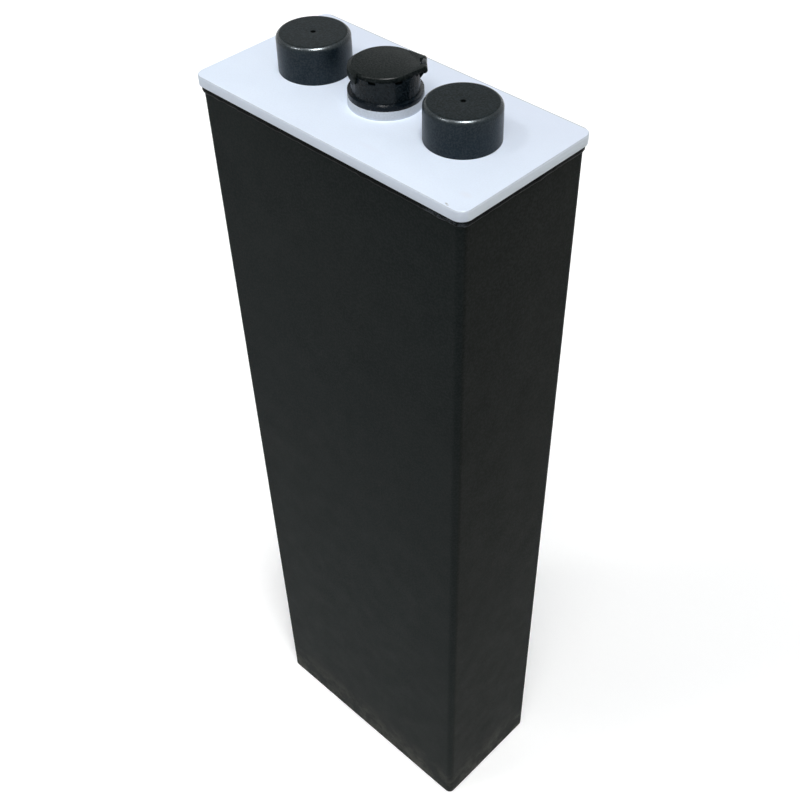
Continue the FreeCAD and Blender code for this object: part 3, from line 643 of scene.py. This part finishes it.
def build_pole_ring(name, x):
    """A ring round the pole on the lid's bushing, with a rounded lip."""
    low, high = BUSHING_TOP - 0.02 * MM, BUSHING_TOP + 0.85 * MM
    inner, outer, lip = 12.03 * MM, 13.9 * MM, 0.45 * MM
    profile = [(inner, low), (inner, high - 0.1 * MM), (12.2 * MM, high)]
    profile += arc((13.3 * MM, high - lip), lip, 90, -10, 5)
    profile += [(outer, low), (inner, low)]
    return new_object(name, lathe(profile, (x, 0.0), RING_STEPS), RUBBER, "cell")


build_pole_ring("positive_pole_ring", POLE_X)
build_pole_ring("negative_pole_ring", -POLE_X)

# Threads of the brass bushings

THREAD_STEPS, THREAD_ROWS = 48, 60


def build_thread(name, x, node):
    """A six-sided block with a countersunk, threaded bore. Its sizes are in mm."""
    data = bmesh.new()
    pitch, bore, depth, thread_height, run_out = 1.5, 4.27, 20.0, 0.62, 2.0
    sink_radius, sink_slope, drill_tip = 5.1, 1.2, 2.3
    half_flats, block_depth, chamfer, chamfer_depth = 7.5, 25.0, 0.25, 0.22

    grid = []
    for j in range(THREAD_ROWS + 1):
        down = depth * j / THREAD_ROWS
        ring = []
        for i in range(THREAD_STEPS):
            a = 2 * math.pi * i / THREAD_STEPS
            phase = (down / pitch + i / THREAD_STEPS) % 1.0
            fade = min(1.0, (depth - down) / run_out)
            groove = thread_height * (1 - abs(2 * phase - 1)) * fade
            r = max(bore + groove, sink_radius - down * sink_slope)
            ring.append(data.verts.new((
                x + r * MM * math.cos(a), r * MM * math.sin(a), POLE_TOP - down * MM)))
        grid.append(ring)
    join_rings(data, grid)
    tip = data.verts.new((x, 0.0, POLE_TOP - (depth + drill_tip) * MM))
    for i in range(THREAD_STEPS):
        data.faces.new((grid[-1][i], grid[-1][(i + 1) % THREAD_STEPS], tip))

    outlines = []
    corner = half_flats / math.cos(math.pi / 6)
    for reach, z in (
            (corner - chamfer, 0.0), (corner, -chamfer_depth), (corner, -block_depth)):
        ring = []
        for i in range(THREAD_STEPS):
            a = 2 * math.pi * i / THREAD_STEPS
            side = (a + math.pi / 6) % (math.pi / 3) - math.pi / 6
            r = reach * math.cos(math.pi / 6) / math.cos(side)
            ring.append(data.verts.new((
                x + r * MM * math.cos(a), r * MM * math.sin(a), POLE_TOP + z * MM)))
        outlines.append(ring)
    join_rings(data, [grid[0]] + outlines)
    data.faces.new(outlines[-1])
    item = new_object(name, data, BRASS, "cell", [node])
    return item


build_thread("positive_insert_skin", POLE_X, "positive_threaded_insert")
build_thread("negative_insert_skin", -POLE_X, "negative_threaded_insert")

# Small roundings on the moulded and cast pieces, in mm

EDGE_WIDTHS = {
    "cell_lid": 0.2,
    "vent_plug_body": 0.3,
    "vent_flip_lid": 0.22,
    "positive_strap_post": 0.6,
    "negative_strap_post": 0.6,
}
for name, width in EDGE_WIDTHS.items():
    soften(frame["nodes"][name], width * MM)

# Camera, fitted to the photograph's straight edges

AZIMUTH, ELEVATION, ROLL = math.radians(43.705), math.radians(47.248), math.radians(-0.629)
DISTANCE, SHIFT_RIGHT, SHIFT_DOWN = 1015.171 * MM, -15.243 * MM, 198.593 * MM
FOCAL_PIXELS = 1119.281
CENTRE_X, CENTRE_Y = 423.322, 471.715
IMAGE = 800
SENSOR = 36


def place_camera():
    back = Vector((
        math.sin(AZIMUTH) * math.cos(ELEVATION),
        -math.cos(AZIMUTH) * math.cos(ELEVATION),
        math.sin(ELEVATION)))
    right = Vector((math.cos(AZIMUTH), math.sin(AZIMUTH), 0))
    up = back.cross(right)
    right, up = (
        right * math.cos(ROLL) + up * math.sin(ROLL),
        up * math.cos(ROLL) - right * math.sin(ROLL))
    data = bpy.data.cameras.new("camera")
    data.sensor_width = SENSOR
    data.lens = FOCAL_PIXELS / IMAGE * SENSOR
    data.shift_x = (IMAGE / 2 - CENTRE_X) / IMAGE
    data.shift_y = (CENTRE_Y - IMAGE / 2) / IMAGE
    camera = bpy.data.objects.new("camera", data)
    place = -(right * SHIFT_RIGHT - up * SHIFT_DOWN - back * DISTANCE)
    turned = Matrix((right, up, back)).transposed().to_4x4()
    camera.matrix_world = Matrix.Translation(place) @ turned
    bpy.context.scene.collection.objects.link(camera)
    bpy.context.scene.camera = camera


place_camera()
bpy.context.scene.view_settings.view_transform = "Standard"

# Floor, world and lamps

FLOOR_SIZE = 6
FLOOR_DROP = 0.2 * MM
FLOOR_LIT, FLOOR_SEEN = (0.62, 0.62, 0.62), (1.12, 1.115, 1.11)
WORLD_TINT = (0.96, 0.98, 1.0, 1)
WORLD_LIGHT, WORLD_SEEN = 0.4, 1.06


def seen_rays(tree):
    """One on the rays that show the background: from the camera, mirrored or through glass."""
    rays = tree.nodes.new("ShaderNodeLightPath").outputs
    total = rays["Is Camera Ray"]
    for name in ("Is Glossy Ray", "Is Transmission Ray"):
        node = tree.nodes.new("ShaderNodeMath")
        node.operation = "ADD"
        tree.links.new(total, node.inputs[0])
        tree.links.new(rays[name], node.inputs[1])
        total = node.outputs["Value"]
    return total


def build_floor():
    """White where it is seen, greyer in the light that it throws back on the object."""
    look = Look("floor_white")
    look.set(Roughness=0.9, Specular_IOR_Level=0.1)
    look.colour(look.mix(seen_rays(look.tree), FLOOR_LIT, FLOOR_SEEN))
    data = bmesh.new()
    bmesh.ops.create_grid(data, x_segments=1, y_segments=1, size=FLOOR_SIZE)
    mesh = bpy.data.meshes.new("floor")
    data.to_mesh(mesh)
    data.free()
    mesh.materials.append(look.material)
    floor = bpy.data.objects.new("floor", mesh)
    floor.location = (0, 0, -FLOOR_DROP)
    bpy.context.scene.collection.objects.link(floor)


def build_world():
    """White where it is seen, dimmer in the light that it gives the object."""
    world = bpy.data.worlds.new("studio")
    world.use_nodes = True
    tree = world.node_tree
    sky = tree.nodes["Background"]
    sky.inputs["Color"].default_value = WORLD_TINT
    level = tree.nodes.new("ShaderNodeMapRange")
    level.inputs["To Min"].default_value = WORLD_LIGHT
    level.inputs["To Max"].default_value = WORLD_SEEN
    tree.links.new(seen_rays(tree), level.inputs["Value"])
    tree.links.new(level.outputs["Result"], sky.inputs["Strength"])
    bpy.context.scene.world = world


def sun(name, azimuth, elevation, strength, spread):
    """A distant lamp that shines from the given direction, with all angles in degrees."""
    lamp = bpy.data.lights.new(name, "SUN")
    lamp.energy = strength
    lamp.angle = math.radians(spread)
    item = bpy.data.objects.new(name, lamp)
    a, e = math.radians(azimuth), math.radians(elevation)
    towards = Vector((math.sin(a) * math.cos(e), -math.cos(a) * math.cos(e), math.sin(e)))
    item.rotation_mode = "QUATERNION"
    item.rotation_quaternion = towards.to_track_quat("Z", "Y")
    bpy.context.scene.collection.objects.link(item)
    return item


build_floor()
build_world()
# The key is seen in no reflection. The two glints are seen in reflections alone.
sun("key", azimuth=30, elevation=56, strength=0.6, spread=24).visible_glossy = False
sun("overhead", azimuth=62, elevation=78, strength=1.15, spread=9)
sun("side", azimuth=-32, elevation=54, strength=0.45, spread=9)
sun("glint", azimuth=60, elevation=76, strength=14.0, spread=8).visible_diffuse = False
sun("side_glint", azimuth=-32, elevation=54, strength=1.9, spread=8).visible_diffuse = False
